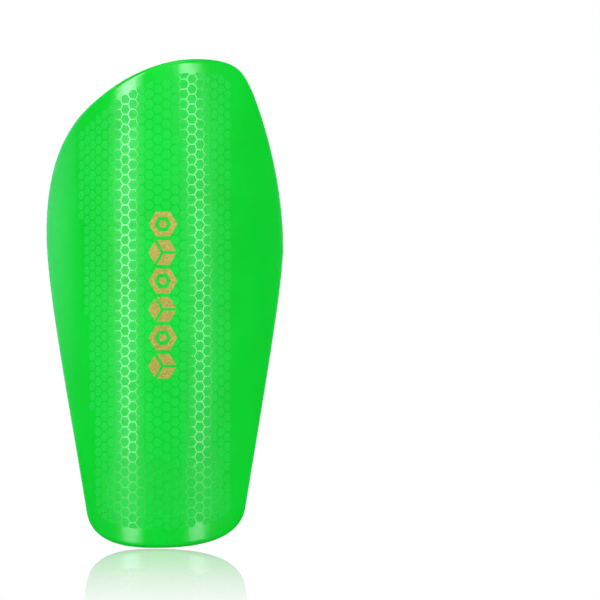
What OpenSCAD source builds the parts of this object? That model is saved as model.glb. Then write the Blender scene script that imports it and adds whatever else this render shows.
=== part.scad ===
// Slip-in shin guard for ball sports: a moulded shell, foil marks, a foam pad and a lining.
//
// It stands as it is worn: +Z up the leg, the front of the shell towards -Y, the leg towards +Y.
// The origin is on the skin side of the lining, on the crest of the shin, at mid-height.
//
// Every layer is drawn flat first, as [distance along the curve, height], and then formed over the
// shin, so the edges are square to the surface and the layers lie face to face.

/* [Shell] */
// Height of the shell, along the leg
shell_h = 210; // [170:5:230]
// Width of the shell, straight across the leg
shell_w = 103.5; // [85:0.5:115]
// Thickness of the shell, half of which is the radius of its round rim
shell_t = 2; // [1.6:0.1:2.6]
// Radius of the curve across the shin, at its crest
shin_r = 28; // [25:1:40]
// Radius of the gentle bow along the shin
bow_r = 900; // [600:50:2000]
// Height at which the shell runs parallel to the leg, below mid-height
bow_foot = -60; // [-80:5:0]

/* [Pad] */
// Bare margin between the edge of the shell and the edge of the pad
pad_margin = 5; // [3:0.5:9]
// Thickness of the adhesive film between the shell and the foam
film_t = 0.2; // [0.1:0.05:0.3]
// Thickness of the foam
foam_t = 4; // [3:0.5:6]
// How far the foam's edge is pressed in on the skin side
foam_press = 1.5; // [0.5:0.25:2.5]
// Thickness of the lining
lining_t = 0.6; // [0.4:0.1:1]

/* [Foil marks] */
// Height of one mark, across the flats of its hexagon
mark_h = 10.6; // [8:0.2:11.4]
// Distance from one mark to the next
mark_pitch = 12.2; // [12:0.1:14]
// Height of the middle of the column of marks
marks_z = 3.4; // [-10:0.2:10]
// Distance of the column of marks to the side of the crest
marks_x = -0.6; // [-4:0.2:4]
// Width of the lines of a mark
mark_line = 2.2; // [1.6:0.1:2.4]
// Thickness of the foil
foil_t = 0.1; // [0.05:0.05:0.2]

/* [Hidden] */

// The outline, seen from the front, at 101.5 wide and 210 high. It runs from the top over the outer
// shoulder, down to the bottom and up the inner side, and each corner is
// [x, z, heading, length of the handle before it, length of the handle after it].
CORNERS = [
    [14, 105, 180, 18, 26],
    [-39, 77.5, 237, 10, 5],
    [-51, 30.5, 270, 31, 24],
    [-33.5, -90, 279, 47, 14],
    [-5, -105, 360, 11, 12],
    [34.5, -88.5, 441, 16.5, 42],
    [50.5, 24, 450, 16, 36],
    [37, 92.5, 477, 1, 8]
];
stretch_x = shell_w / 101.5;
stretch_z = shell_h / 210;

// Points on each stretch of the outline, rings from the middle to the edge, steps round the rim
stretch_steps = 8;
field_rings = 10;
rim_steps = 6;

rim_r = shell_t / 2;
film_depth = shell_t;
foam_depth = film_depth + film_t;
lining_depth = foam_depth + foam_t;
skin_depth = lining_depth + lining_t;
lining_margin = pad_margin + foam_press;
mark_count = 6;
// The foil needs only the middle rings, which reach well past the marks
foil_rings = 6;

// --- The curve across the shin: a parabola, with its length measured along it ---

function slope(x) = x / shin_r;
function stretch_of(x) = sqrt(1 + pow(slope(x), 2));
function length_to(x) = (x * stretch_of(x) + shin_r * ln(slope(x) + stretch_of(x))) / 2;

// The x that lies u along the curve, by Newton's method
function across(u, x = 0, turns = 8) =
    turns == 0 ? x : across(u, x - (length_to(x) - u) / stretch_of(x), turns - 1);

// The bow along the shin, zero at mid-height
function bow(z) = (pow(z - bow_foot, 2) - pow(bow_foot, 2)) / (2 * bow_r);

// A flat point [u, z], formed over the shin at a depth below the front of the shell
function formed(p, depth) =
    let (
        x = across(p[0]),
        front_y = x * x / (2 * shin_r) + bow(p[1]) - skin_depth
    )
    [x - depth * slope(x) / stretch_of(x), front_y + depth / stretch_of(x), p[1]];

// --- The flat outline ---

function heading(corner) = [cos(corner[2]), sin(corner[2])];
function place(corner) = [corner[0], corner[1]];

function curve_point(a, b, c, d, t) =
    pow(1 - t, 3) * a + 3 * pow(1 - t, 2) * t * b + 3 * (1 - t) * t * t * c + t * t * t * d;

function stretch_between(p, q) = [
    for (k = [0 : stretch_steps - 1])
        curve_point(
            place(p),
            place(p) + p[4] * heading(p),
            place(q) - q[3] * heading(q),
            place(q),
            k / stretch_steps
        )
];

OUTLINE = [
    for (i = [0 : len(CORNERS) - 1])
        each stretch_between(CORNERS[i], CORNERS[(i + 1) % len(CORNERS)])
];
FLAT = [for (p = OUTLINE) [length_to(p[0] * stretch_x), p[1] * stretch_z]];
count = len(FLAT);

// The outline moved in by a margin, square to itself
function inward(i) =
    let (
        step = FLAT[(i + 1) % count] - FLAT[(i + count - 1) % count]
    )
    [-step[1], step[0]] / norm(step);
function edge(margin) = [for (i = [0 : count - 1]) FLAT[i] + margin * inward(i)];

// --- Rings of formed points, from the middle outwards ---

PAD_EDGE = edge(pad_margin);

function ring(flat, depth, share = 1) = [for (p = flat) formed(share * p, depth)];
function field(depth, rings = field_rings) = [
    for (k = [1 : rings]) ring(PAD_EDGE, depth, k / field_rings)
];
// The same rings, with the last one at another margin
function field_to(depth, margin) =
    concat(field(depth, field_rings - 1), [ring(edge(margin), depth)]);

function reversed(list) = [for (i = [len(list) - 1 : -1 : 0]) list[i]];

// The round rim of the shell
function rim_ring(turn) =
    ring(edge(rim_r * (1 - sin(turn))), rim_r * (1 - cos(turn)));

// --- A closed layer from rings: out over its front, round its edge and back in ---

function quad(i, k, back) =
    let (
        a = 1 + k * count + i,
        b = 1 + k * count + (i + 1) % count
    )
    back
        ? [[a, b, a + count], [b, b + count, a + count]]
        : [[a, b, b + count], [a, b + count, a + count]];

module layer(rings, front_depth, back_depth) {
    last = len(rings) - 1;
    end = 1 + len(rings) * count;
    points = concat(
        [formed([0, 0], front_depth)],
        [for (r = rings) each r],
        [formed([0, 0], back_depth)]
    );
    faces = concat(
        [for (i = [0 : count - 1]) [0, 1 + (i + 1) % count, 1 + i]],
        [for (k = [0 : last - 1]) for (i = [0 : count - 1]) each quad(i, k, k >= last / 2)],
        [for (i = [0 : count - 1]) [end, end - count + i, end - count + (i + 1) % count]]
    );
    polyhedron(points, faces);
}

// --- The pieces ---

module shell() {
    rim = [for (k = [0 : rim_steps]) rim_ring(k * 180 / rim_steps)];
    rings = concat(field(0), rim, reversed(field(shell_t)));
    color([0.08, 0.80, 0.24])
        layer(rings, 0, shell_t);
}

module bond_film() {
    rings = concat(field(film_depth), reversed(field(foam_depth)));
    color([0.93, 0.93, 0.88])
        layer(rings, film_depth, foam_depth);
}

module foam_pad() {
    side = [
        ring(edge(pad_margin), foam_depth + foam_t * 0.6),
        ring(edge(pad_margin + foam_press * 0.4), foam_depth + foam_t * 0.85)
    ];
    rings = concat(field(foam_depth), side, reversed(field_to(lining_depth, lining_margin)));
    color([0.13, 0.13, 0.14])
        layer(rings, foam_depth, lining_depth);
}

module lining() {
    rings = concat(
        field_to(lining_depth, lining_margin),
        reversed(field_to(skin_depth, lining_margin))
    );
    color([0.22, 0.23, 0.25])
        layer(rings, lining_depth, skin_depth);
}

// A hexagon with its flats at the top and bottom, given the distance between them
module hexagon(flats) {
    circle(r = flats / sqrt(3), $fn = 6);
}

// Odd marks: a hexagonal frame round a solid core
module framed_hexagon() {
    difference() {
        hexagon(mark_h);
        hexagon(mark_h - 2 * mark_line);
    }
    hexagon(mark_line * 1.4);
}

// Even marks: a hexagon parted into three equal tiles
module parted_hexagon() {
    gap = mark_line * 0.55;
    difference() {
        hexagon(mark_h);
        for (turn = [0, 120, 240])
            rotate(turn)
                translate([0, -gap / 2])
                    square([mark_h, gap]);
    }
}

// The foil, before it is cut to its marks
module foil_sheet() {
    layer(concat(field(-foil_t, foil_rings), reversed(field(0, foil_rings))), -foil_t, 0);
}

// Mark number n, counted from the top
module foil_mark(n) {
    z = marks_z + ((mark_count + 1) / 2 - n) * mark_pitch;
    color([0.76, 0.62, 0.27])
        intersection() {
            foil_sheet();
            translate([marks_x, 0, z])
                rotate([90, 0, 0])
                    linear_extrude(4 * skin_depth, center = true)
                        if (n % 2 == 1) framed_hexagon();
                        else parted_hexagon();
        }
}

shell();
foil_mark(1);  // foil_mark_1
foil_mark(2);  // foil_mark_2
foil_mark(3);  // foil_mark_3
foil_mark(4);  // foil_mark_4
foil_mark(5);  // foil_mark_5
foil_mark(6);  // foil_mark_6
bond_film();
foam_pad();
lining();
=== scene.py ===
# %% [markdown]
# # A slip-in shin guard
# The guard is a stack of thin layers formed over a shin: a moulded plastic shell with a honeycomb relief,
# six foil marks, an adhesive film, a foam pad and a knitted lining. Each layer could be sculpted straight
# onto the curve, but then no two would fit face to face. So each one is drawn flat first, as it would be
# cut or engraved on a bench, and one function forms them all over the shin. The CAD frame, loaded here,
# fixes where each layer lies.

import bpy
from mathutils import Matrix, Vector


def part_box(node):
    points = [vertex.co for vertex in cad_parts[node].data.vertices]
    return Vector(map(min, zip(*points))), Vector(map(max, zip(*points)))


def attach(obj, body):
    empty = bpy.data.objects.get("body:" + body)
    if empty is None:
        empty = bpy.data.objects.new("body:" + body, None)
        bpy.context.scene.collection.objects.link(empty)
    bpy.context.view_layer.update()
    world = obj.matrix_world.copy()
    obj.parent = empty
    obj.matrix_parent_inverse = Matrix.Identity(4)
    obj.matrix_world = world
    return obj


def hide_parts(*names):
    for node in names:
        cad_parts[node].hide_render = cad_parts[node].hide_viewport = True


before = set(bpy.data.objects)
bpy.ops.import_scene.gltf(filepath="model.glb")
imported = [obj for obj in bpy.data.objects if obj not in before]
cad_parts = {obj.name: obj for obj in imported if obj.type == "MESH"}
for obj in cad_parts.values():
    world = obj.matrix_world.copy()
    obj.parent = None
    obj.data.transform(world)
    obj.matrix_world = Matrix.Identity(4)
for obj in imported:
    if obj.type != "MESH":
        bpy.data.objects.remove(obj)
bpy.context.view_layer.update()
print("CAD nodes:", ", ".join(sorted(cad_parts)))

# %% Modules
import math

import bmesh
import bpy
from mathutils import Matrix, Vector
from mathutils.geometry import intersect_line_line_2d

print("Blender", bpy.app.version_string)

# %% [markdown]
# ## Driving sizes
# Blender works in metres, so sizes in millimetres are multiplied by MM. A size could be typed wherever
# it is used, but then the layers would drift apart as soon as one of them changed. So the thicknesses
# and radii of the CAD part are stated once, and the height and width are measured on its shell.

# %% Driving sizes
MM = 0.001
SHELL_T = 2.0 * MM
FILM_T = 0.2 * MM
FOAM_T = 4.0 * MM
LINING_T = 0.6 * MM
SKIN_DEPTH = SHELL_T + FILM_T + FOAM_T + LINING_T
SHIN_R = 28 * MM  # the curve across the shin, at its crest
BOW_R = 900 * MM  # the bow along the shin
BOW_FOOT = -60 * MM  # the height at which the shell runs parallel to the leg
PAD_MARGIN = 5.0 * MM  # from the edge of the shell to the edge of the pad

shell_low, shell_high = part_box("shell")
shell_size = shell_high - shell_low
print("shell, in mm:", [round(side / MM, 1) for side in shell_size])

# %% [markdown]
# ## Forming over the shin
# The guard is curved like a gutter, and bows gently back along the leg. A Simple Deform modifier could
# bend a flat mesh, but only to an arc of a circle, and a lattice would widen the hexagons on the flanks.
# Here a flat point is (distance across, height, height above the shell's front), and the distance is
# measured along the curve itself, a parabola. So a hexagon drawn flat keeps its size wherever it lands.

# %% Forming
NEWTON_TURNS = 8


def slope(x):
    return x / SHIN_R


def stretch(x):
    return math.hypot(1, slope(x))


def length_to(x):
    """The distance along the parabola, from its crest to x."""
    return (x * stretch(x) + SHIN_R * math.asinh(slope(x))) / 2


def across(u):
    """The x that lies u along the parabola, by Newton's method."""
    x = 0.0
    for _ in range(NEWTON_TURNS):
        x -= (length_to(x) - u) / stretch(x)
    return x


def bow(height):
    return ((height - BOW_FOOT) ** 2 - BOW_FOOT**2) / (2 * BOW_R)


def formed(flat):
    """A flat point, on the guard."""
    x = across(flat[0])
    front = x * x / (2 * SHIN_R) + bow(flat[1]) - SKIN_DEPTH
    lean = slope(x) / stretch(x)
    upright = 1 / stretch(x)
    return Vector((x + flat[2] * lean, front - flat[2] * upright, flat[1]))


print("flat 60 mm across lands at", [round(c / MM, 1) for c in formed((60 * MM, 0, 0))])

# %% [markdown]
# ## The outline
# Seen from the front, the guard is a long shield, taller on the outer side of the leg. Its edge could be
# a list of a hundred points, but eight corners of one closed Bezier curve draw it just as well, and are
# easy to adjust. Blender's own curve samples it, and length_to() unrolls it. The edge of every layer is
# this outline moved in by some margin.

# %% Corners of the outline
# [x, height, heading in degrees, handle before, handle after], in mm, from the top down the outer side
CORNERS = [
    (14, 105, 180, 18, 26),
    (-39, 77.5, 237, 10, 5),
    (-51, 30.5, 270, 31, 24),
    (-33.5, -90, 279, 47, 14),
    (-5, -105, 0, 11, 12),
    (34.5, -88.5, 81, 16.5, 42),
    (50.5, 24, 90, 16, 36),
    (37, 92.5, 117, 1, 8),
]
DRAWN_SIZE = Vector((100.8, 0, 210)) * MM  # what the corners give once they are formed
SAMPLES = 16  # points on each stretch


def sampled_outline():
    curve = bpy.data.curves.new("outline", "CURVE")
    curve.dimensions = "3D"
    curve.resolution_u = SAMPLES
    spline = curve.splines.new("BEZIER")
    spline.bezier_points.add(len(CORNERS) - 1)
    spline.use_cyclic_u = True
    for point, (x, height, heading, before, after) in zip(spline.bezier_points, CORNERS):
        towards = Vector((math.cos(math.radians(heading)), math.sin(math.radians(heading)), 0))
        point.co = Vector((x, height, 0))
        point.handle_left = point.co - before * towards
        point.handle_right = point.co + after * towards
    drawn = bpy.data.objects.new("outline", curve)
    points = [vertex.co.copy() for vertex in drawn.to_mesh().vertices]
    bpy.data.objects.remove(drawn)
    bpy.data.curves.remove(curve)
    return points


sampled = sampled_outline()
print(len(CORNERS), "corners give", len(sampled), "points")

# %% Flat outline
WIDER = shell_size.x / DRAWN_SIZE.x
TALLER = shell_size.z / DRAWN_SIZE.z
OUTLINE = [Vector((length_to(p.x * MM * WIDER), p.y * MM * TALLER)) for p in sampled]


def inward(i):
    """The direction square to the outline at point i, towards the middle."""
    step = OUTLINE[(i + 1) % len(OUTLINE)] - OUTLINE[i - 1]
    return Vector((-step.y, step.x)).normalized()


def edge(margin):
    """The outline moved in by margin."""
    return [p + margin * inward(i) for i, p in enumerate(OUTLINE)]


def span(points, axis):
    """From the lowest to the highest of some points, along an axis."""
    places = [point[axis] for point in points]
    return max(places) - min(places)


print("flat outline:", [round(span(OUTLINE, axis) / MM, 1) for axis in (0, 1)], "mm")

# %% [markdown]
# ## Tiling a flat sheet
# The honeycomb and the vents of the pad are both rows of equal hexagonal tiles. Two Array modifiers
# could repeat a tile, but the tiling has to be cut and extruded afterwards. So it is made in bmesh: one
# tile is copied along a column, and the column across, with every other column half a tile up.

# %% Tiling
WELD_SHARE = 0.01  # points nearer than this share of a tile are welded


def everything(bm):
    return bm.verts[:] + bm.edges[:] + bm.faces[:]


def points_of(geometry):
    """The vertices in a list of vertices, edges and faces."""
    return [g for g in geometry if isinstance(g, bmesh.types.BMVert)]


def add_copy(bm, geometry, offset):
    copy = bmesh.ops.duplicate(bm, geom=geometry)["geom"]
    bmesh.ops.translate(bm, verts=points_of(copy), vec=offset)


def plain_tile(bm, pitch):
    """A hexagon with a flat top; pitch is the distance across its flats."""
    flat_top = Matrix.Rotation(math.radians(30), 4, "Z")
    radius = pitch / math.sqrt(3)
    bmesh.ops.create_circle(bm, cap_ends=True, segments=6, radius=radius, matrix=flat_top)


def tiled(add_tile, pitch, columns, rows, shift):
    bm = bmesh.new()
    add_tile(bm, pitch)
    bmesh.ops.translate(bm, verts=bm.verts, vec=(*shift, 0))
    tile = everything(bm)
    for row in rows:
        add_copy(bm, tile, (0, row * pitch, 0))
    bmesh.ops.delete(bm, geom=points_of(tile), context="VERTS")
    column = everything(bm)
    for k in columns:
        half_step = pitch / 2 if k % 2 else 0
        add_copy(bm, column, (k * pitch * math.sqrt(3) / 2, half_step, 0))
    bmesh.ops.delete(bm, geom=points_of(column), context="VERTS")
    bmesh.ops.remove_doubles(bm, verts=bm.verts, dist=pitch * WELD_SHARE)
    return bm


three = tiled(plain_tile, 1.0, range(3), range(1), (0, 0))
print("three tiles side by side share", 18 - len(three.verts), "of their 18 corners")
three.free()

# %% [markdown]
# ## Trimming a tiling
# The relief stops at a line all round, and the cells there are cut through, as the mould has them. A
# Boolean needs closed solids, and the sheet is still open. bisect_plane cuts an open sheet along one
# straight line at a time, and a curved edge is many short lines.

# %% Trimming
NEAR = 0.03 * MM  # points nearer than this are one point
ON_LINE = 0.001 * MM
FOOT_TO = -92 * MM  # below this the outline is the foot of the guard


def trim(bm, point, outward):
    """Cuts away what lies beyond a line through point, in the direction outward."""
    outward = Vector(outward).normalized()
    bmesh.ops.bisect_plane(
        bm,
        geom=everything(bm),
        dist=ON_LINE,
        plane_co=(point[0], point[1], 0),
        plane_no=(outward[0], outward[1], 0),
        clear_outer=True,
    )


def trim_along(bm, start, end):
    """Keeps what lies to the left of the line from start to end."""
    run = end - start
    trim(bm, start, (run.y, -run.x))


def trimmed_to_panel(bm, top_margin, foot_margin, left, right, top_from):
    """Trims a tiling by the top and foot of the outline and by a line on each side."""
    for i, point in enumerate(OUTLINE):
        if point.y > top_from:
            trim(bm, point + top_margin * inward(i), -inward(i))
        elif point.y < FOOT_TO:
            trim(bm, point + foot_margin * inward(i), -inward(i))
    trim_along(bm, *left)
    trim_along(bm, *right)
    bmesh.ops.remove_doubles(bm, verts=bm.verts, dist=NEAR)
    bmesh.ops.dissolve_degenerate(bm, dist=NEAR, edges=bm.edges)
    for face in bm.faces:
        if face.normal.z < 0:
            face.normal_flip()


foot_lines = sum(1 for point in OUTLINE if point.y < FOOT_TO)
print("the foot of a panel is cut along", foot_lines, "lines")

# %% [markdown]
# ## Rings out to the edge
# A trimmed tiling has a ragged border, while the edge of the guard is smooth. Filling the gap with
# triangles would show as creases in a glossy surface. So the border is extruded outwards ring by ring,
# each ring nearer to the outline, and the sheet stays one welded surface with no seam.

# %% Rings
MIDDLE = Vector((0, -5 * MM))  # rings spread from here


def open_border(bm):
    return [e for e in bm.edges if e.is_boundary]


def reach(point, loop):
    """Where the ray from the middle through point crosses a closed loop."""
    far = MIDDLE + (point - MIDDLE).normalized()
    for i, corner in enumerate(loop):
        hit = intersect_line_line_2d(MIDDLE, far, loop[i - 1], corner)
        if hit is not None:
            return hit
    raise ValueError("the ray misses the loop")


def next_ring(bm, border, place):
    """Extrudes the open border, puts each new vertex where place() says, and gives the new border."""
    made = bmesh.ops.extrude_edge_only(bm, edges=border)["geom"]
    for vertex in points_of(made):
        vertex.co = place(vertex.co)
    return [g for g in made if isinstance(g, bmesh.types.BMEdge) and g.is_boundary]


def spread_to(bm, border, loop, rings):
    """Evenly spaced rings on the flat, from the border out to a loop."""
    for rings_left in range(rings, 0, -1):

        def place(co, share=1 / rings_left):
            there = co.xy.lerp(reach(co.xy, loop), share)
            return Vector((there.x, there.y, 0))

        border = next_ring(bm, border, place)
    return border


def on_loop(loop, height):
    """A placing rule: straight out onto a loop, at one height."""

    def place(co):
        there = reach(co.xy, loop)
        return Vector((there.x, there.y, height))

    return place


print("the edge is", round((reach(Vector((1, -5 * MM)), OUTLINE) - MIDDLE).x / MM, 1), "mm to the right")

# %% [markdown]
# ## From a flat sheet to a piece
# Every layer is finished in the same way: its flat places are kept as a UV map, it is formed over the
# shin, and its faces are turned outwards. Auto Smooth by a modifier could shade it, but marking the
# sharp edges in the mesh itself gives the same look, and nothing is left to bake. An object stays at the
# origin with its place in its mesh, as the CAD nodes have it, and rides on the one body there is.

# %% Finishing a piece
def as_object(name, bm):
    """Puts a bmesh into the scene as an object, and frees it."""
    mesh = bpy.data.meshes.new(name)
    bm.to_mesh(mesh)
    bm.free()
    made = bpy.data.objects.new(name, mesh)
    bpy.context.scene.collection.objects.link(made)
    return made


def finish_piece(name, bm, materials, sharp_angle=30):
    flat_map = bm.loops.layers.uv.new("flat")
    for face in bm.faces:
        face.smooth = True
        for corner in face.loops:
            corner[flat_map].uv = corner.vert.co.xy
    for vertex in bm.verts:
        vertex.co = formed(vertex.co)
    bmesh.ops.recalc_face_normals(bm, faces=bm.faces)
    bm.normal_update()
    for e in bm.edges:
        e.smooth = e.calc_face_angle(0) < math.radians(sharp_angle)
    open_edges = sum(1 for e in bm.edges if not e.is_manifold)
    volume = round(bm.calc_volume() * 1e6, 2)
    print(f"{name} has {len(bm.faces)} faces, {open_edges} open edges, {volume} cm3")
    piece = as_object(name, bm)
    for material in materials:
        piece.data.materials.append(material)
    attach(piece, "root")
    return piece


def closed_layer(bm, upper, lower):
    """Gives an open sheet a second side; upper() and lower() set each side's height from its relief."""
    made = bmesh.ops.extrude_face_region(bm, geom=bm.faces[:])["geom"]
    second = set(points_of(made))
    for vertex in bm.verts:
        rule = upper if vertex in second else lower
        vertex.co.z = rule(vertex.co.z)


# %% [markdown]
# ## Wiring a finish
# A finish is how a surface looks: its colour, its gloss and its grain. Image textures could hold these,
# but they blur when looked at closely. Here each finish is a Principled shader fed by patterns, which
# stay sharp. Patterns that follow the curved cloth read the "flat" UV map, in metres, and the others
# read Object coordinates. Numbers that are the same all over are set on the shader's own sockets.

# %% Finish
class Finish:
    """A material being wired up: short calls for the nodes that every finish here needs."""

    def __init__(self, name):
        self.material = bpy.data.materials.new(name)
        self.material.use_nodes = True
        self.nodes = self.material.node_tree.nodes
        self.links = self.material.node_tree.links
        self.shader = self.nodes["Principled BSDF"]

    def constants(self, **values):
        for socket, value in values.items():
            self.shader.inputs[socket.replace("_", " ")].default_value = value

    def feed(self, socket, value):
        """Links a socket to another node's output, or sets it to a number or colour."""
        if isinstance(value, bpy.types.NodeSocket):
            self.links.new(value, socket)
        else:
            socket.default_value = value

    def node(self, kind, inputs=(), **settings):
        made = self.nodes.new(kind)
        for key, value in settings.items():
            setattr(made, key, value)
        for socket, value in dict(inputs).items():
            self.feed(made.inputs[socket], value)
        return made

    def object_place(self):
        return self.node("ShaderNodeTexCoord").outputs["Object"]

    def map_place(self, name):
        return self.node("ShaderNodeUVMap", uv_map=name).outputs["UV"]

    def parts_of(self, place):
        """The outputs X, Y and Z of a place."""
        return self.node("ShaderNodeSeparateXYZ", {"Vector": place}).outputs

    def noise(self, place, grain, detail=3.0, roughness=0.5):
        """Noise whose lumps are about grain metres across."""
        settings = {"Vector": place, "Scale": 1 / grain, "Detail": detail, "Roughness": roughness}
        return self.node("ShaderNodeTexNoise", settings).outputs["Fac"]

    def ramp(self, value, low, high, to_low=0.0, to_high=1.0):
        """Maps low..high to to_low..to_high, without going past either."""
        settings = {"Value": value, "From Min": low, "From Max": high, "To Min": to_low, "To Max": to_high}
        return self.node("ShaderNodeMapRange", settings).outputs["Result"]

    def math(self, operation, a, b=0.0, c=0.0):
        return self.node("ShaderNodeMath", {0: a, 1: b, 2: c}, operation=operation).outputs["Value"]

    def mix_number(self, share, first, second):
        return self.node("ShaderNodeMix", {0: share, 2: first, 3: second}).outputs[0]

    def mix_colour(self, share, first, second):
        return self.node("ShaderNodeMix", {0: share, 6: first, 7: second}, data_type="RGBA").outputs[2]

    def bump(self, height, strength, distance, under=None):
        """Relief for shading; under is the relief of the layer below it."""
        settings = {"Height": height, "Strength": strength, "Distance": distance}
        if under is not None:
            settings["Normal"] = under
        return self.node("ShaderNodeBump", settings).outputs["Normal"]

    def drive(self, **values):
        for socket, value in values.items():
            self.feed(self.shader.inputs[socket.replace("_", " ")], value)
        return self.material

    def without_principled(self, shader):
        """Puts another shader in the place of the Principled one."""
        self.links.new(shader.outputs[0], self.nodes["Material Output"].inputs["Surface"])
        self.nodes.remove(self.shader)
        return self.material


print("a finish can be wired with", [call for call in vars(Finish) if not call.startswith("_")])

# %% [markdown]
# ## Green shell plastic
# The shell is one polypropylene moulding, but its mould was polished in some places and etched in
# others. One material with a mask could show both, but the mask would have to trace every cell. Two
# finishes of one colour follow the faces instead: glossy on the border and on the honeycomb lines, satin
# inside the cells. The colour drifts slightly, as pigment does in a thin moulding, and low on the panel
# the polish has gone dull.

# %% Dull patch
DULL_FROM_ABOVE = (-60 * MM, -74 * MM)  # where it begins and where it is full
DULL_FROM_BELOW = (-96 * MM, -88 * MM)
DULL_FROM_ASIDE = (29 * MM, 22 * MM)


def dulled_patch(finish, place):
    """1 low on the panel, fading to 0 around it."""
    parts = finish.parts_of(place)
    below = finish.ramp(parts["Z"], *DULL_FROM_ABOVE)
    above = finish.ramp(parts["Z"], *DULL_FROM_BELOW)
    beside = finish.ramp(finish.math("ABSOLUTE", parts["X"]), *DULL_FROM_ASIDE)
    return finish.math("MULTIPLY", finish.math("MULTIPLY", below, above), beside)


print("the dull patch is", round((DULL_FROM_ABOVE[0] - DULL_FROM_BELOW[0]) / MM), "mm high")

# %% Shell finishes
GREEN = (0.0015, 0.54, 0.022, 1)
GREEN_DEEP = (0.001, 0.50, 0.018, 1)
MILKY_GREEN = (0.003, 0.54, 0.036, 1)
MILKY_GREEN_DEEP = (0.002, 0.50, 0.030, 1)
PIGMENT_DRIFT = 30 * MM
POLISH_DRIFT = 9 * MM


def shell_plastic(name, colours, roughness, grain, grain_depth, shine=0.5, dulling=0.0):
    """dulling is the roughness that the dull patch adds."""
    finish = Finish(name)
    place = finish.object_place()
    pigment = finish.ramp(finish.noise(place, PIGMENT_DRIFT, 2.0), 0.35, 0.65)
    colour = finish.mix_colour(pigment, *colours)
    polish = finish.noise(place, POLISH_DRIFT)
    gloss = finish.ramp(polish, 0.3, 0.7, roughness * 0.85, roughness * 1.15)
    gloss = finish.math("MULTIPLY_ADD", dulled_patch(finish, place), dulling, gloss)
    etched = finish.bump(finish.noise(place, grain, 2.0), 0.5, grain_depth)
    finish.constants(IOR=1.49, Specular_IOR_Level=shine)
    return finish.drive(Base_Color=colour, Roughness=gloss, Normal=etched)


shell_gloss = shell_plastic(
    "shell_gloss", (GREEN_DEEP, GREEN), 0.17, 1.4 * MM, 0.002 * MM, dulling=0.17
)
shell_satin = shell_plastic(
    "shell_satin", (MILKY_GREEN_DEEP, MILKY_GREEN), 0.42, 0.25 * MM, 0.006 * MM, shine=0.17
)
print(shell_gloss.name, "and", shell_satin.name, "have", len(shell_gloss.node_tree.nodes), "nodes each")

# %% [markdown]
# ## The honeycomb panel
# The relief is a sheet of hexagons, 4.33 mm across the flats, raised 0.07 mm. A bump map could fake it,
# but real lines catch the light along their sides. inset_individual draws them: the first inset is half
# a line wide, and the second sinks the floor of the cell along a short slope. poke lifts the middle of
# the floor a little, which makes each cell catch the light like a small pillow.

# %% Panel sizes
CELL = 4.33 * MM
LINE_W = 0.62 * MM
RELIEF = 0.07 * MM
WALL_W = 0.05 * MM
PILLOW = 0.03 * MM
PANEL_SHIFT = (0.85 * MM, -1.15 * MM)
PANEL_TOP_MARGIN = 5.6 * MM
PANEL_FOOT_MARGIN = 7.7 * MM
PANEL_TOP_FROM = 60 * MM  # above this the outline bounds the panel, and below it the side lines do
PANEL_LEFT = (Vector((-47.9, 48)) * MM, Vector((-35.4, -88)) * MM)
PANEL_RIGHT = (Vector((33.5, -88)) * MM, Vector((33.5, 48)) * MM)
PANEL_COLUMNS = range(-13, 12)
PANEL_ROWS = range(-23, 24)
SMALLEST_CELL = 0.45  # a cut cell smaller than this share of a whole one is left as plain border


def tile_area(pitch):
    return pitch**2 * math.sqrt(3) / 2


print("a whole cell is", round(tile_area(CELL) * 1e6, 1), "mm2")

# %% Honeycomb panel
def off_line(point, line):
    """How far a point lies from a line."""
    start, end = line
    run = (end - start).normalized()
    return abs(run.x * (point.y - start.y) - run.y * (point.x - start.x))


def meets_a_side(face):
    sides = (PANEL_LEFT, PANEL_RIGHT)
    return any(off_line(v.co, side) < NEAR for v in face.verts for side in sides)


def honeycomb_front():
    bm = tiled(plain_tile, CELL, PANEL_COLUMNS, PANEL_ROWS, PANEL_SHIFT)
    trimmed_to_panel(
        bm, PANEL_TOP_MARGIN, PANEL_FOOT_MARGIN, PANEL_LEFT, PANEL_RIGHT, PANEL_TOP_FROM
    )
    big_enough = [face for face in bm.faces if face.calc_area() > SMALLEST_CELL * tile_area(CELL)]
    cells = [face for face in big_enough if not meets_a_side(face)]
    bmesh.ops.inset_individual(bm, faces=cells, thickness=LINE_W / 2, use_even_offset=True)
    bmesh.ops.inset_individual(
        bm, faces=cells, thickness=WALL_W, depth=-RELIEF, use_even_offset=True
    )
    for face in cells:
        face.material_index = 1
    bmesh.ops.poke(bm, faces=cells, offset=PILLOW)
    print(len(cells), "cells on the panel")
    return bm


front = honeycomb_front()

# %% [markdown]
# ## The shell
# The shell is 2 mm thick, with a wide soft fillet on the front of its rim and a smaller one behind, as a
# moulded edge has. Solidify and Bevel could add both, but they would work on every cell of the relief
# too. So the border of the panel is extruded to the outline, rolled round the rim, and carried back
# across the hidden side, which stays smooth.

# %% Shell
FRONT_FILLET = (1.6 * MM, 1.1 * MM)  # width, depth
BACK_FILLET = (0.7 * MM, 0.9 * MM)
FILLET_STEPS = 6
BORDER_STEPS = 10
BACK_SHARES = [0.93, 0.84, 0.74, 0.64, 0.54, 0.44, 0.34, 0.24, 0.14, 0.05]  # of the way to the edge
SHELL_MIDDLE = Vector((MIDDLE.x, MIDDLE.y, -SHELL_T))


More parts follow.
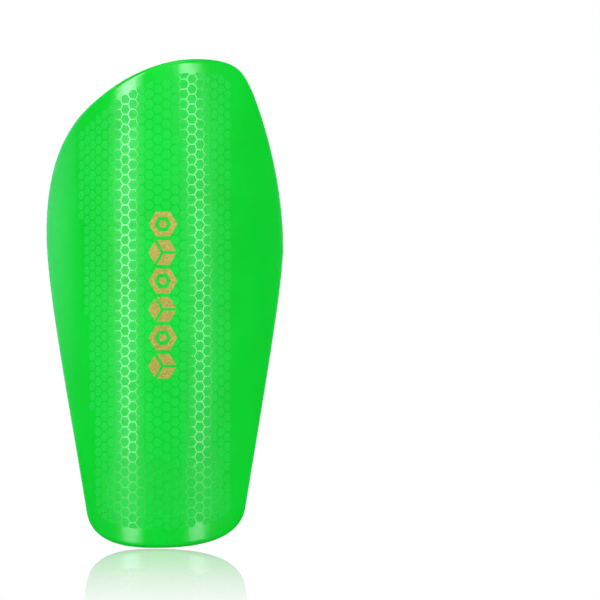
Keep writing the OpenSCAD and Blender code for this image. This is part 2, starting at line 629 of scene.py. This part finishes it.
def roll_round_rim(bm, border):
    turns = [math.radians(90) * k / FILLET_STEPS for k in range(1, FILLET_STEPS + 1)]
    for turn in turns:
        margin = FRONT_FILLET[0] * (1 - math.sin(turn))
        height = -FRONT_FILLET[1] * (1 - math.cos(turn))
        border = next_ring(bm, border, on_loop(edge(margin), height))
    for turn in turns:
        margin = BACK_FILLET[0] * (1 - math.cos(turn))
        height = -SHELL_T + BACK_FILLET[1] * (1 - math.sin(turn))
        border = next_ring(bm, border, on_loop(edge(margin), height))
    return border


def close_back(bm, border):
    back_edge = edge(BACK_FILLET[0])
    for share in BACK_SHARES:

        def place(co, share=share):
            there = MIDDLE.lerp(reach(co.xy, back_edge), share)
            return Vector((there.x, there.y, -SHELL_T))

        border = next_ring(bm, border, place)
    last = {v for e in border for v in e.verts}
    bmesh.ops.pointmerge(bm, verts=[v for v in bm.verts if v in last], merge_co=SHELL_MIDDLE)


def build_shell():
    bm = front.copy()
    border = spread_to(bm, open_border(bm), edge(FRONT_FILLET[0]), BORDER_STEPS)
    close_back(bm, roll_round_rim(bm, border))
    return finish_piece("shell_moulding", bm, [shell_gloss, shell_satin])


shell = build_shell()
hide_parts("shell")

# %% [markdown]
# ## Gold foil
# Hot-stamped foil is a metal film a few hundredths of a millimetre thick, pressed on by a heated die. A
# fully metallic shader goes dark where it mirrors nothing, but this foil shows its colour all over. So
# it is only partly metallic, satin from the grain of the plastic and slightly mottled: paler where it
# lies tight, and browner where the green shows through.

# %% Gold foil finish
GOLD = (0.68, 0.58, 0.13, 1)
GOLD_DEEP = (0.46, 0.365, 0.05, 1)
GOLD_WORN = (0.28, 0.15, 0.03, 1)


def gold_foil():
    finish = Finish("gold_foil")
    place = finish.object_place()
    blotch = finish.noise(place, 0.9 * MM, 4.0, 0.6)
    speck = finish.noise(place, 0.35 * MM, 2.0, 0.6)
    gold = finish.mix_colour(finish.ramp(blotch, 0.35, 0.65), GOLD_DEEP, GOLD)
    colour = finish.mix_colour(finish.ramp(speck, 0.58, 0.70, 0.0, 0.7), gold, GOLD_WORN)
    satin = finish.ramp(speck, 0.3, 0.7, 0.34, 0.5)
    crinkle = finish.bump(blotch, 0.5, 0.02 * MM)
    finish.constants(Metallic=0.55, IOR=1.5)
    return finish.drive(Base_Color=colour, Roughness=satin, Normal=crinkle)


foil_finish = gold_foil()
print(foil_finish.name, "has", len(foil_finish.node_tree.nodes), "nodes")

# %% [markdown]
# ## Shapes of the foil marks
# The marks are generic: framed hexagons and hexagons parted into three, in turn. Each is drawn as a few
# straight-sided tiles, because such a tile can be cut out of another mesh one side at a time.

# %% Mark shapes
MARK_LINE = 2.2 * MM
MARK_CORE = 1.4 * MARK_LINE
MARK_GAP = 0.55 * MARK_LINE
MARK_COUNT = 6


def turned(point, degrees):
    return Matrix.Rotation(math.radians(degrees), 2) @ Vector(point)


def hexagon(flats):
    return [turned((flats / math.sqrt(3), 0), 60 * k) for k in range(6)]


def framed_hexagon(flats):
    """Six sides and a core."""
    outer = hexagon(flats)
    inner = hexagon(flats - 2 * MARK_LINE)
    sides = [[outer[k - 1], outer[k], inner[k], inner[k - 1]] for k in range(6)]
    return sides + [hexagon(MARK_CORE)]


def parted_hexagon(flats):
    """Three equal tiles with a gap between them."""
    half_gap = MARK_GAP / 2
    radius = flats / math.sqrt(3)
    near_middle = turned((half_gap / math.sin(math.radians(60)), 0), 60)
    first = Vector((radius - half_gap / math.sqrt(3), half_gap))
    last = Vector((first.x, -first.y))
    tile = [near_middle, first, turned((radius, 0), 60), turned(last, 120)]
    return [[turned(corner, 120 * k) for corner in tile] for k in range(3)]


mark_tiles = [len(draw(5 * MARK_LINE)) for draw in (framed_hexagon, parted_hexagon)]
print("a framed mark has", mark_tiles[0], "tiles, a parted one", mark_tiles[1])

# %% [markdown]
# ## Foil marks
# The foil lies on the honeycomb relief and follows it. Shrinkwrap could press a flat mark onto the
# relief, but it would miss the cells' corners. So each mark is cut out of a copy of the flat panel
# itself: bisect_plane keeps what is inside one tile at a time, and extruding gives the foil its
# thickness.

# %% Foil marks
FOIL_GAP = 0.035 * MM
FOIL_T = 0.03 * MM
MARK_REACH = 0.7  # a square that reaches this share of a mark's height, each way, holds all of it


def cut_out(bm, centre, tile):
    """A copy of what lies inside a tile, as a mesh."""
    part = bm.copy()
    for k, corner in enumerate(tile):
        trim_along(part, centre + tile[k - 1], centre + corner)
    cut = bpy.data.meshes.new("tile")
    part.to_mesh(cut)
    part.free()
    return cut


def foil_mark(n):
    low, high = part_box(f"foil_mark_{n}")
    centre = Vector((length_to((low.x + high.x) / 2), (low.z + high.z) / 2))
    flats = high.z - low.z
    near = front.copy()
    for side in range(4):
        outward = turned((1, 0), 90 * side)
        trim(near, centre + MARK_REACH * flats * outward, outward)
    tiles = framed_hexagon(flats) if n % 2 else parted_hexagon(flats)
    foil = bmesh.new()
    for tile in tiles:
        cut = cut_out(near, centre, tile)
        foil.from_mesh(cut)
        bpy.data.meshes.remove(cut)
    near.free()
    for face in foil.faces:
        face.material_index = 0
    closed_layer(foil, lambda z: z + FOIL_GAP + FOIL_T, lambda z: z + FOIL_GAP)
    return finish_piece(f"foil_{n}", foil, [foil_finish])


for n in range(1, MARK_COUNT + 1):
    mark = foil_mark(n)
    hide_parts(f"foil_mark_{n}")

# %% [markdown]
# ## Foam
# The pad is closed-cell EVA foam: matte and nearly black, with fine pits where its cells were cut. Noise
# would make it look like stone, while a Voronoi pattern gives round pits side by side, as cells are.

# %% Foam finish
FOAM_CELL = 0.45 * MM
FOAM_BLACK = (0.020, 0.021, 0.023, 1)
FOAM_GREY = (0.034, 0.035, 0.038, 1)


def eva_foam():
    finish = Finish("eva_foam")
    place = finish.object_place()
    cells = finish.node(
        "ShaderNodeTexVoronoi", {"Vector": place, "Scale": 1 / FOAM_CELL}, feature="F1"
    ).outputs["Distance"]
    mottle = finish.noise(place, 6 * MM)
    colour = finish.mix_colour(finish.ramp(mottle, 0.35, 0.65), FOAM_BLACK, FOAM_GREY)
    pits = finish.bump(cells, 0.5, 0.05 * MM)
    swell = finish.bump(mottle, 0.25, 0.12 * MM, under=pits)
    finish.constants(IOR=1.45)
    return finish.drive(
        Base_Color=colour, Roughness=finish.ramp(cells, 0.1, 0.6, 0.62, 0.9), Normal=swell
    )


foam_finish = eva_foam()
print(foam_finish.name, "has", len(foam_finish.node_tree.nodes), "nodes")

# %% [markdown]
# ## Knit
# The lining is a thin warp knit: columns of small loops, called wales, that run up the leg, in rows
# called courses. Loops of real yarn would take millions of faces, and these are only about a millimetre
# wide, so waves in the material are enough. The waves are drawn on the flat map, so that the loops keep
# their size where the pad curves round the shin. The waves also darken the colour between the loops and
# lighten their tops, which is painted shade.

# %% Knit finish
WALE = 1.3 * MM  # from one column of loops to the next
COURSE = 1.0 * MM  # from one row of loops to the next
LOOP_LEAN = 2.4  # how far a loop leans, in radians of a course
# KNIT_DARK and KNIT_LIGHT are partly painted shade: the dark goes between the loops, the light on their
# tops
KNIT_DARK = (0.012, 0.013, 0.015, 1)
KNIT_LIGHT = (0.085, 0.088, 0.094, 1)
KNIT_WORN = (0.10, 0.10, 0.105, 1)


def knit_loops(finish):
    """The height of the loops, from 0 between them to 1 on their tops."""
    flat = finish.parts_of(finish.map_place("flat"))
    across_wales = finish.math("MULTIPLY", flat["X"], 2 * math.pi / WALE)
    wale = finish.math("COSINE", across_wales)
    # each loop leans one way and then the other, so the rows are bent into small chevrons
    bend = finish.math("ABSOLUTE", finish.math("SINE", finish.math("MULTIPLY", across_wales, 0.5)))
    along = finish.math("MULTIPLY", flat["Y"], 2 * math.pi / COURSE)
    course = finish.math("COSINE", finish.math("MULTIPLY_ADD", bend, LOOP_LEAN, along))
    loops = finish.math("MULTIPLY_ADD", course, 0.5, finish.math("MULTIPLY", wale, 0.7))
    return finish.ramp(loops, -1.2, 1.2)


def warp_knit():
    finish = Finish("warp_knit")
    height = knit_loops(finish)
    place = finish.object_place()
    fuzz = finish.noise(place, 0.5 * MM, 3.0, 0.7)
    wear = finish.noise(place, 14 * MM)
    # painted shade: the colour darkens between the loops and lightens on their tops, mixed with a random
    # tone from the fuzz
    loop_shade_and_fuzz = finish.math("MULTIPLY_ADD", fuzz, 0.35, finish.math("MULTIPLY", height, 0.75))
    colour = finish.mix_colour(finish.ramp(loop_shade_and_fuzz, 0.15, 0.95), KNIT_DARK, KNIT_LIGHT)
    aged = finish.mix_colour(finish.ramp(wear, 0.4, 0.7, 0.0, 0.25), colour, KNIT_WORN)
    matte = finish.ramp(fuzz, 0.2, 0.8, 0.78, 0.95)
    knit = finish.bump(height, 0.8, 0.18 * MM)
    hairs = finish.bump(fuzz, 0.3, 0.06 * MM, under=knit)
    finish.constants(Sheen_Weight=0.35, Sheen_Roughness=0.5, IOR=1.4)
    return finish.drive(Base_Color=aged, Roughness=matte, Normal=hairs)


knit_finish = warp_knit()
print(knit_finish.name, "has", round(10 * MM / WALE, 1), "wales to the centimetre")

# %% [markdown]
# ## Adhesive film
# Foam and shell are held together by a film that was melted between them. It shows only as a milky line
# round the pad. Transmission would make it glassy, at a high cost for so thin a line, so a cloudy pale
# colour with a soft gloss stands for it.

# %% Film finish
FILM_CLOUDY = (0.60, 0.66, 0.52, 1)
FILM_MILKY = (0.82, 0.83, 0.76, 1)


def melted_film():
    finish = Finish("melted_film")
    cloud = finish.noise(finish.object_place(), 2.5 * MM)
    colour = finish.mix_colour(finish.ramp(cloud, 0.3, 0.7), FILM_CLOUDY, FILM_MILKY)
    gloss = finish.ramp(cloud, 0.3, 0.7, 0.25, 0.45)
    ripple = finish.bump(cloud, 0.4, 0.05 * MM)
    finish.constants(IOR=1.48)
    return finish.drive(Base_Color=colour, Roughness=gloss, Normal=ripple)


film_finish = melted_film()
print(film_finish.name, "has", len(film_finish.node_tree.nodes), "nodes")

# %% [markdown]
# ## The vented sheet
# Foam and lining are laminated first and punched together, so one flat sheet serves both: hexagonal
# patches, each with a round vent in the middle. The patches round a vent are insets, whose points are
# set on circles that step down towards the hole, so the pad is crowned between the vents. Towards the
# edge the sheet is pressed thinner, as the hot press leaves it. Cloth simulation is the usual way to
# swell a pad, but this one is 4 mm thick and bonded all over, so its crowning is modelled directly.

# %% Pressed edge
LINING_MARGIN = PAD_MARGIN + 1.5 * MM
PRESS_FROM = 12 * MM  # margin at which the pressing of the edge begins
PRESS_DEPTH = 1.3 * MM
PRESS_RINGS = 4


def pressed(margin):
    """How far the skin side is pressed down at a margin from the shell's edge."""
    share = max(0.0, min(1.0, (PRESS_FROM - margin) / (PRESS_FROM - LINING_MARGIN)))
    return PRESS_DEPTH * share * share * (3 - 2 * share)


print("half-way the edge is pressed", round(pressed((PRESS_FROM + LINING_MARGIN) / 2) / MM, 2), "mm")

# %% Vents
VENT_PITCH = 12 * MM
VENT_RINGS = [(4.7, 0.06), (3.6, 0.22), (2.6, 0.48), (2.0, 0.8), (1.7, 1.1)]  # radius and depth, in mm
VENT_SHIFT = (0, -3 * MM)
VENT_COLUMNS = range(-6, 7)
VENT_ROWS = range(-9, 10)
SIDE_CUTS = 3  # on each side of a patch, for a round vent
WHOLE_ENOUGH = 0.99  # a patch with this share of its area is uncut, and gets a vent
SMALL_INSET = 0.1 * MM  # only to make the faces; their points are then set on circles


def vent_tile(bm, pitch):
    plain_tile(bm, pitch)
    bmesh.ops.subdivide_edges(bm, edges=bm.edges[:], cuts=SIDE_CUTS)


def punch_vents(bm):
    """Rings that step down to a hole, in every whole patch; gives the number of vents."""
    whole = tile_area(VENT_PITCH)
    patches = [face for face in bm.faces if face.calc_area() > WHOLE_ENOUGH * whole]
    middles = [face.calc_center_median() for face in patches]
    for radius, depth in VENT_RINGS:
        bmesh.ops.inset_individual(bm, faces=patches, thickness=SMALL_INSET)
        for face, middle in zip(patches, middles):
            for vertex in face.verts:
                spoke = (vertex.co.xy - middle.xy).normalized()
                vertex.co = (*(middle.xy + radius * MM * spoke), depth * MM)
    bmesh.ops.delete(bm, geom=patches, context="FACES_ONLY")
    return len(patches)


print("a vent is", 2 * VENT_RINGS[-1][0], "mm wide, with", 6 * (SIDE_CUTS + 1), "corners")

# %% Vented sheet
PAD_PANEL_MARGIN = 12 * MM
PAD_LEFT = (Vector((-59, 35)) * MM, Vector((-29, -92)) * MM)
PAD_RIGHT = (Vector((29, -92)) * MM, Vector((58, 30)) * MM)
PAD_TOP_FROM = 20 * MM
PAD_RINGS = 3
BORDER_STEP = 1.2 * MM


def refine_border(bm, longest):
    """Splits the long edges of the border, so that its rings follow the outline's corners."""
    for side in open_border(bm):
        cuts = int(side.calc_length() / longest)
        if cuts:
            bmesh.ops.bisect_edges(bm, edges=[side], cuts=cuts)


def vented_sheet():
    """A flat sheet out to the lining's edge; a point's height is how far it is pressed down."""
    bm = tiled(vent_tile, VENT_PITCH, VENT_COLUMNS, VENT_ROWS, VENT_SHIFT)
    trimmed_to_panel(bm, PAD_PANEL_MARGIN, PAD_PANEL_MARGIN, PAD_LEFT, PAD_RIGHT, PAD_TOP_FROM)
    refine_border(bm, BORDER_STEP)
    vents = punch_vents(bm)
    rim = [e for e in open_border(bm) if e.verts[0].co.z == 0 and e.verts[1].co.z == 0]
    rim = spread_to(bm, rim, edge(PRESS_FROM), PAD_RINGS)
    for ring in range(1, PRESS_RINGS + 1):
        margin = PRESS_FROM + (LINING_MARGIN - PRESS_FROM) * ring / PRESS_RINGS
        rim = next_ring(bm, rim, on_loop(edge(margin), pressed(margin)))
    print(vents, "vents,", len(bm.faces), "faces in the flat sheet")
    return bm, rim


print("the border of the sheet is split into steps of", round(BORDER_STEP / MM, 1), "mm or less")

# %% [markdown]
# ## Lining
# The lining is one piece of knit, cut to the pad's outline and stretched over the foam as the press
# bonds them. A draped cloth would hang in folds, which a bonded knit never does. So it is the vented
# sheet itself, 0.6 mm thick.

# %% Lining
def build_lining():
    bm, _ = vented_sheet()
    area = sum(face.calc_area() for face in bm.faces)
    closed_layer(bm, lambda z: z - SKIN_DEPTH, lambda z: z - SKIN_DEPTH + LINING_T)
    return finish_piece("knit_lining", bm, [knit_finish], sharp_angle=50), area


lining, lining_area = build_lining()

# %% [markdown]
# ## Foam pad
# The foam fills the space between lining and shell, and its side bulges out to the full margin where the
# press doesn't reach it. A bevel would round that side evenly. Three rings of chosen margins give it the
# fuller shape that squeezed foam has.

# %% Foam pad
# [margin, share of the foam's thickness], from the skin side to the shell
FOAM_SIDE = [(5.9 * MM, 0.45), (5.35 * MM, 0.62), (PAD_MARGIN, 0.85)]


def build_foam():
    bm, rim = vented_sheet()
    for margin, share in FOAM_SIDE:
        rim = next_ring(bm, rim, on_loop(edge(margin), share * FOAM_T))
    skin_side = SHELL_T + FILM_T + FOAM_T
    closed_layer(bm, lambda z: z - skin_side, lambda z: -SHELL_T - FILM_T)
    return finish_piece("vented_foam", bm, [foam_finish], sharp_angle=60)


foam = build_foam()

# %% [markdown]
# ## Film
# The melted film has the same outline as the foam, but a little of it was squeezed out past the edge. A
# noise texture could displace that bead. Two crossed sine waves do it with less.

# %% Film
FILM_SQUEEZE = 0.5 * MM
WAVE_X = 3.1 * MM
WAVE_Y = 4.3 * MM


def squeezed(co):
    """A placing rule: a little outwards, further in some places than in others."""
    wave = 0.5 + 0.5 * math.sin(co.x / WAVE_X) * math.sin(co.y / WAVE_Y)
    out = (co.xy - MIDDLE).normalized() * FILM_SQUEEZE * (0.3 + wave)
    return Vector((co.x + out.x, co.y + out.y, 0))


def build_film():
    bm, rim = vented_sheet()
    rim = next_ring(bm, rim, on_loop(edge(PAD_MARGIN), 0))
    next_ring(bm, rim, squeezed)
    closed_layer(bm, lambda z: -SHELL_T - FILM_T, lambda z: -SHELL_T)
    return finish_piece("melted_film", bm, [film_finish], sharp_angle=60)


film = build_film()

# %% [markdown]
# ## What each soft piece stands for
# The three layers take the place of their plain CAD solids, which are hidden.

# %% Soft pieces
for piece, node, slot in (
    (lining, "lining", "lining_knit"),
    (foam, "foam_pad", "pad_foam"),
    (film, "bond_film", "adhesive_film"),
):
    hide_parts(node)

# %% [markdown]
# ## Camera
# The guard is looked at straight from the front, from so far away that its sides don't turn in. An
# orthographic camera would show no perspective at all, but no real lens does that, so a very long lens
# is used. The camera stands to the right of the guard, which leaves clear space beside it.

# %% Camera
VIEW_W = 257.6 * MM  # the width of the view, at the guard
LENS = 800
SENSOR = 36
CAMERA_ASIDE = 58.2 * MM
CAMERA_UP = 1.3 * MM

camera_data = bpy.data.cameras.new("camera")
camera_data.lens = LENS
camera_data.sensor_width = SENSOR
camera = bpy.data.objects.new("camera", camera_data)
camera.location = (CAMERA_ASIDE, -VIEW_W * LENS / SENSOR, CAMERA_UP)
camera.rotation_euler = (math.radians(90), 0, 0)
bpy.context.scene.collection.objects.link(camera)
bpy.context.scene.camera = camera
print("the camera is", round(-camera.location.y, 2), "m away")

# %% [markdown]
# ## Strip lights
# Glossy plastic is lit by what it mirrors. In a studio that is a pair of tall soft boxes, one on each
# side, which draw the two bright bands down the guard. Area lights could do it, but their edges are hard
# and their shape is flat. So each strip is a mesh on a cylinder round the guard, with an emission that
# fades out towards its edges, and its azimuth may change with its height.

# %% Strip meshes
STRIP_FAR = 1.1  # metres from the guard's axis to the strips
STRIP_LOW = -0.21
STRIP_HIGH = 0.8
STRIP_ROWS = 20
STRIP_COLUMNS = 8


def strip_mesh(azimuth, width):
    """A strip round the guard; azimuth(height) and width are in degrees, with 0 at the camera's side."""
    bm = bmesh.new()
    bmesh.ops.create_grid(bm, x_segments=STRIP_COLUMNS, y_segments=STRIP_ROWS, size=0.5)
    place = bm.loops.layers.uv.new("place")
    for face in bm.faces:
        for corner in face.loops:
            corner[place].uv = (corner.vert.co.x + 0.5, corner.vert.co.y + 0.5)
    for vertex in bm.verts:
        height = STRIP_LOW + (STRIP_HIGH - STRIP_LOW) * (vertex.co.y + 0.5)
        turn = math.radians(azimuth(height) + width * vertex.co.x)
        vertex.co = (STRIP_FAR * math.sin(turn), -STRIP_FAR * math.cos(turn), height)
    return bm


print("strips are", round(STRIP_HIGH - STRIP_LOW, 2), "m tall")

# %% Strip glow
WHITE = (1, 1, 1, 1)
COLD_WHITE = (1, 1, 1.2, 1)
SOFT_EDGE = 0.36  # the share of a strip's width over which each of its edges fades
DIMMED = 0.7  # the level of a strip's lower end


def strip_glow(name, radiance, tint, dimmer_below):
    """Shares of the height in dimmer_below: up to the first it is dimmed, from the second on it is full."""
    finish = Finish(name)
    parts = finish.parts_of(finish.map_place("place"))
    other_side = finish.math("SUBTRACT", 1.0, parts["X"])
    from_edge = finish.math("MINIMUM", parts["X"], other_side)
    level = finish.math(
        "MULTIPLY",
        finish.ramp(from_edge, 0.0, SOFT_EDGE, 0.0, radiance),
        finish.ramp(parts["Y"], *dimmer_below, DIMMED, 1.0),
    )
    # the polished floor shows plain white where it would show a lamp
    in_floor = finish.node("ShaderNodeLightPath").outputs["Is Singular Ray"]
    shown = finish.mix_number(in_floor, level, 1.0)
    colour = finish.mix_colour(in_floor, tint, WHITE)
    return finish.without_principled(
        finish.node("ShaderNodeEmission", {"Color": colour, "Strength": shown})
    )


def light_strip(name, azimuth, width, radiance, tint=COLD_WHITE, dimmer_below=(0.1, 0.35), colours=True):
    """A strip that is seen in gloss; colours says whether it also lights the colours of a surface."""
    strip = as_object(name, strip_mesh(azimuth, width))
    strip.data.materials.append(strip_glow(name, radiance, tint, dimmer_below))
    strip.visible_camera = False
    strip.visible_shadow = False
    strip.visible_diffuse = colours
    print(name, "has radiance", radiance)


light_strip("left_strip", lambda h: -58.8 - 25 * h + 51 * h * h, 34, 10.3)
light_strip("right_strip", lambda h: 58.0 + 17 * h - 122 * h * h, 34, 8.8, dimmer_below=(0.25, 0.75))

# %% [markdown]
# ## Haze
# The rims of the guard turn away from the bright strips, and mirror the rest of the room: pale walls,
# slightly blue. Lighting the whole world would wash out the green as well. Four weak strips, one in
# front and three behind, show only in the gloss.

# %% Haze
COOL = (0.6, 0.85, 1.3, 1)

light_strip("front_haze", lambda h: -6, 66, 0.14, tint=COOL, colours=False)
light_strip("left_haze", lambda h: -132, 50, 1.1, tint=COOL, colours=False)
light_strip("right_haze", lambda h: 146, 50, 1.0, tint=COOL, colours=False)
light_strip("rear_haze", lambda h: 188, 36, 0.7, tint=COOL, colours=False)

# %% [markdown]
# ## Fill lights
# Large soft panels bring up the colour of the front and the back without a glare of their own, and a
# small one hangs overhead. They have no shape to be seen, so plain area lights do.

# %% Fill lights
UP = Vector((0, 0, 1))
AWAY = Vector((0, 1, 0))  # from the camera


def aim(azimuth, elevation, distance):
    """A place round the guard: azimuth 0 is the camera's side, positive to the right."""
    a = math.radians(azimuth)
    e = math.radians(elevation)
    return distance * Vector((math.sin(a) * math.cos(e), -math.cos(a) * math.cos(e), math.sin(e)))


def panel_light(name, centre, along, width, length, radiance, seen_in_gloss=True):
    """A rectangle that faces the guard, with its length in the direction along."""
    light = bpy.data.lights.new(name, "AREA")
    light.shape = "RECTANGLE"
    light.size = width
    light.size_y = length
    light.energy = radiance * math.pi * width * length
    lamp = bpy.data.objects.new(name, light)
    back = centre.normalized()
    up = (along - along.dot(back) * back).normalized()
    facing = Matrix((up.cross(back), up, back)).transposed().to_4x4()
    lamp.matrix_world = Matrix.Translation(centre) @ facing
    lamp.visible_camera = False
    lamp.visible_glossy = seen_in_gloss
    bpy.context.scene.collection.objects.link(lamp)
    print(name, "gives", round(light.energy, 1), "W")


panel_light("front_fill", aim(65, 12, 2.0), UP, 1.8, 1.8, 1.4, seen_in_gloss=False)
panel_light("rear_fill", aim(180, 30, 2.0), UP, 1.8, 1.8, 2.4, seen_in_gloss=False)
panel_light("overhead", aim(0, 72, 1.3), AWAY, 1.2, 1.0, 0.5)

# %% [markdown]
# ## World
# The backdrop is plain white. A white world would also light the guard and show in its gloss, so its
# level depends on what looks at it: full for the camera and for the floor's mirror, half for the light
# that colours a surface, and almost nothing for gloss.

# %% World
WORLD_IN_GLOSS = 0.01
WORLD_LEVELS = {"Is Diffuse Ray": 0.5, "Is Singular Ray": 1.0, "Is Camera Ray": 1.0}


def build_world():
    world = bpy.data.worlds.new("studio")
    bpy.context.scene.world = world
    world.use_nodes = True
    nodes = world.node_tree.nodes
    links = world.node_tree.links
    background = nodes["Background"]
    background.inputs["Color"].default_value = WHITE
    path = nodes.new("ShaderNodeLightPath")
    last = None
    for ray, level in WORLD_LEVELS.items():
        chosen = nodes.new("ShaderNodeMix")
        links.new(path.outputs[ray], chosen.inputs[0])
        chosen.inputs[2].default_value = WORLD_IN_GLOSS
        chosen.inputs[3].default_value = level
        if last:
            links.new(last.outputs[0], chosen.inputs[2])
        last = chosen
    links.new(last.outputs[0], background.inputs["Strength"])
    print(world.name, "world has", len(nodes), "nodes")


build_world()
bpy.context.scene.view_settings.view_transform = "Standard"  # colours as they are, with no film curve

# %% [markdown]
# ## Floor
# The guard stands on a white polished table that mirrors it faintly, and runs into the backdrop without
# an edge. A white glossy plastic would turn grey away from the lights. So the floor glows plain white
# by itself, mixed with a sharp mirror, which fades out around the guard.

# %% Floor
FLOOR_REACH = 6.0  # metres to each side
FLOOR_GAP = 0.2 * MM  # between the floor and the foot of the guard
POLISH = 0.65
POLISH_ENDS = 1.25  # metres from the guard


def pale_floor():
    finish = Finish("pale_floor")
    parts = finish.parts_of(finish.object_place())
    y_squared = finish.math("MULTIPLY", parts["Y"], parts["Y"])
    away = finish.math("SQRT", finish.math("MULTIPLY_ADD", parts["X"], parts["X"], y_squared))
    polish = finish.ramp(away, 0.0, POLISH_ENDS, POLISH, 0.0)
    fresnel = finish.node("ShaderNodeFresnel", {"IOR": 1.45}).outputs["Fac"]
    share = finish.math("MULTIPLY", polish, fresnel)
    pale = finish.node("ShaderNodeEmission", {"Color": WHITE, "Strength": 1.0})
    mirror = finish.node("ShaderNodeBsdfGlossy", {"Color": WHITE, "Roughness": 0.0})
    return finish.without_principled(
        finish.node("ShaderNodeMixShader", {0: share, 1: pale.outputs[0], 2: mirror.outputs[0]})
    )


def build_floor():
    bm = bmesh.new()
    bmesh.ops.create_grid(bm, x_segments=1, y_segments=1, size=FLOOR_REACH)
    bmesh.ops.translate(bm, verts=bm.verts, vec=(0, 0, shell_low.z - FLOOR_GAP))
    floor = as_object("floor", bm)
    floor.data.materials.append(pale_floor())
    floor.visible_glossy = False
    floor.visible_diffuse = False
    floor.visible_shadow = False
    print("the floor is at", round((shell_low.z - FLOOR_GAP) / MM, 1), "mm")


build_floor()

# %% [markdown] ## Size and finish
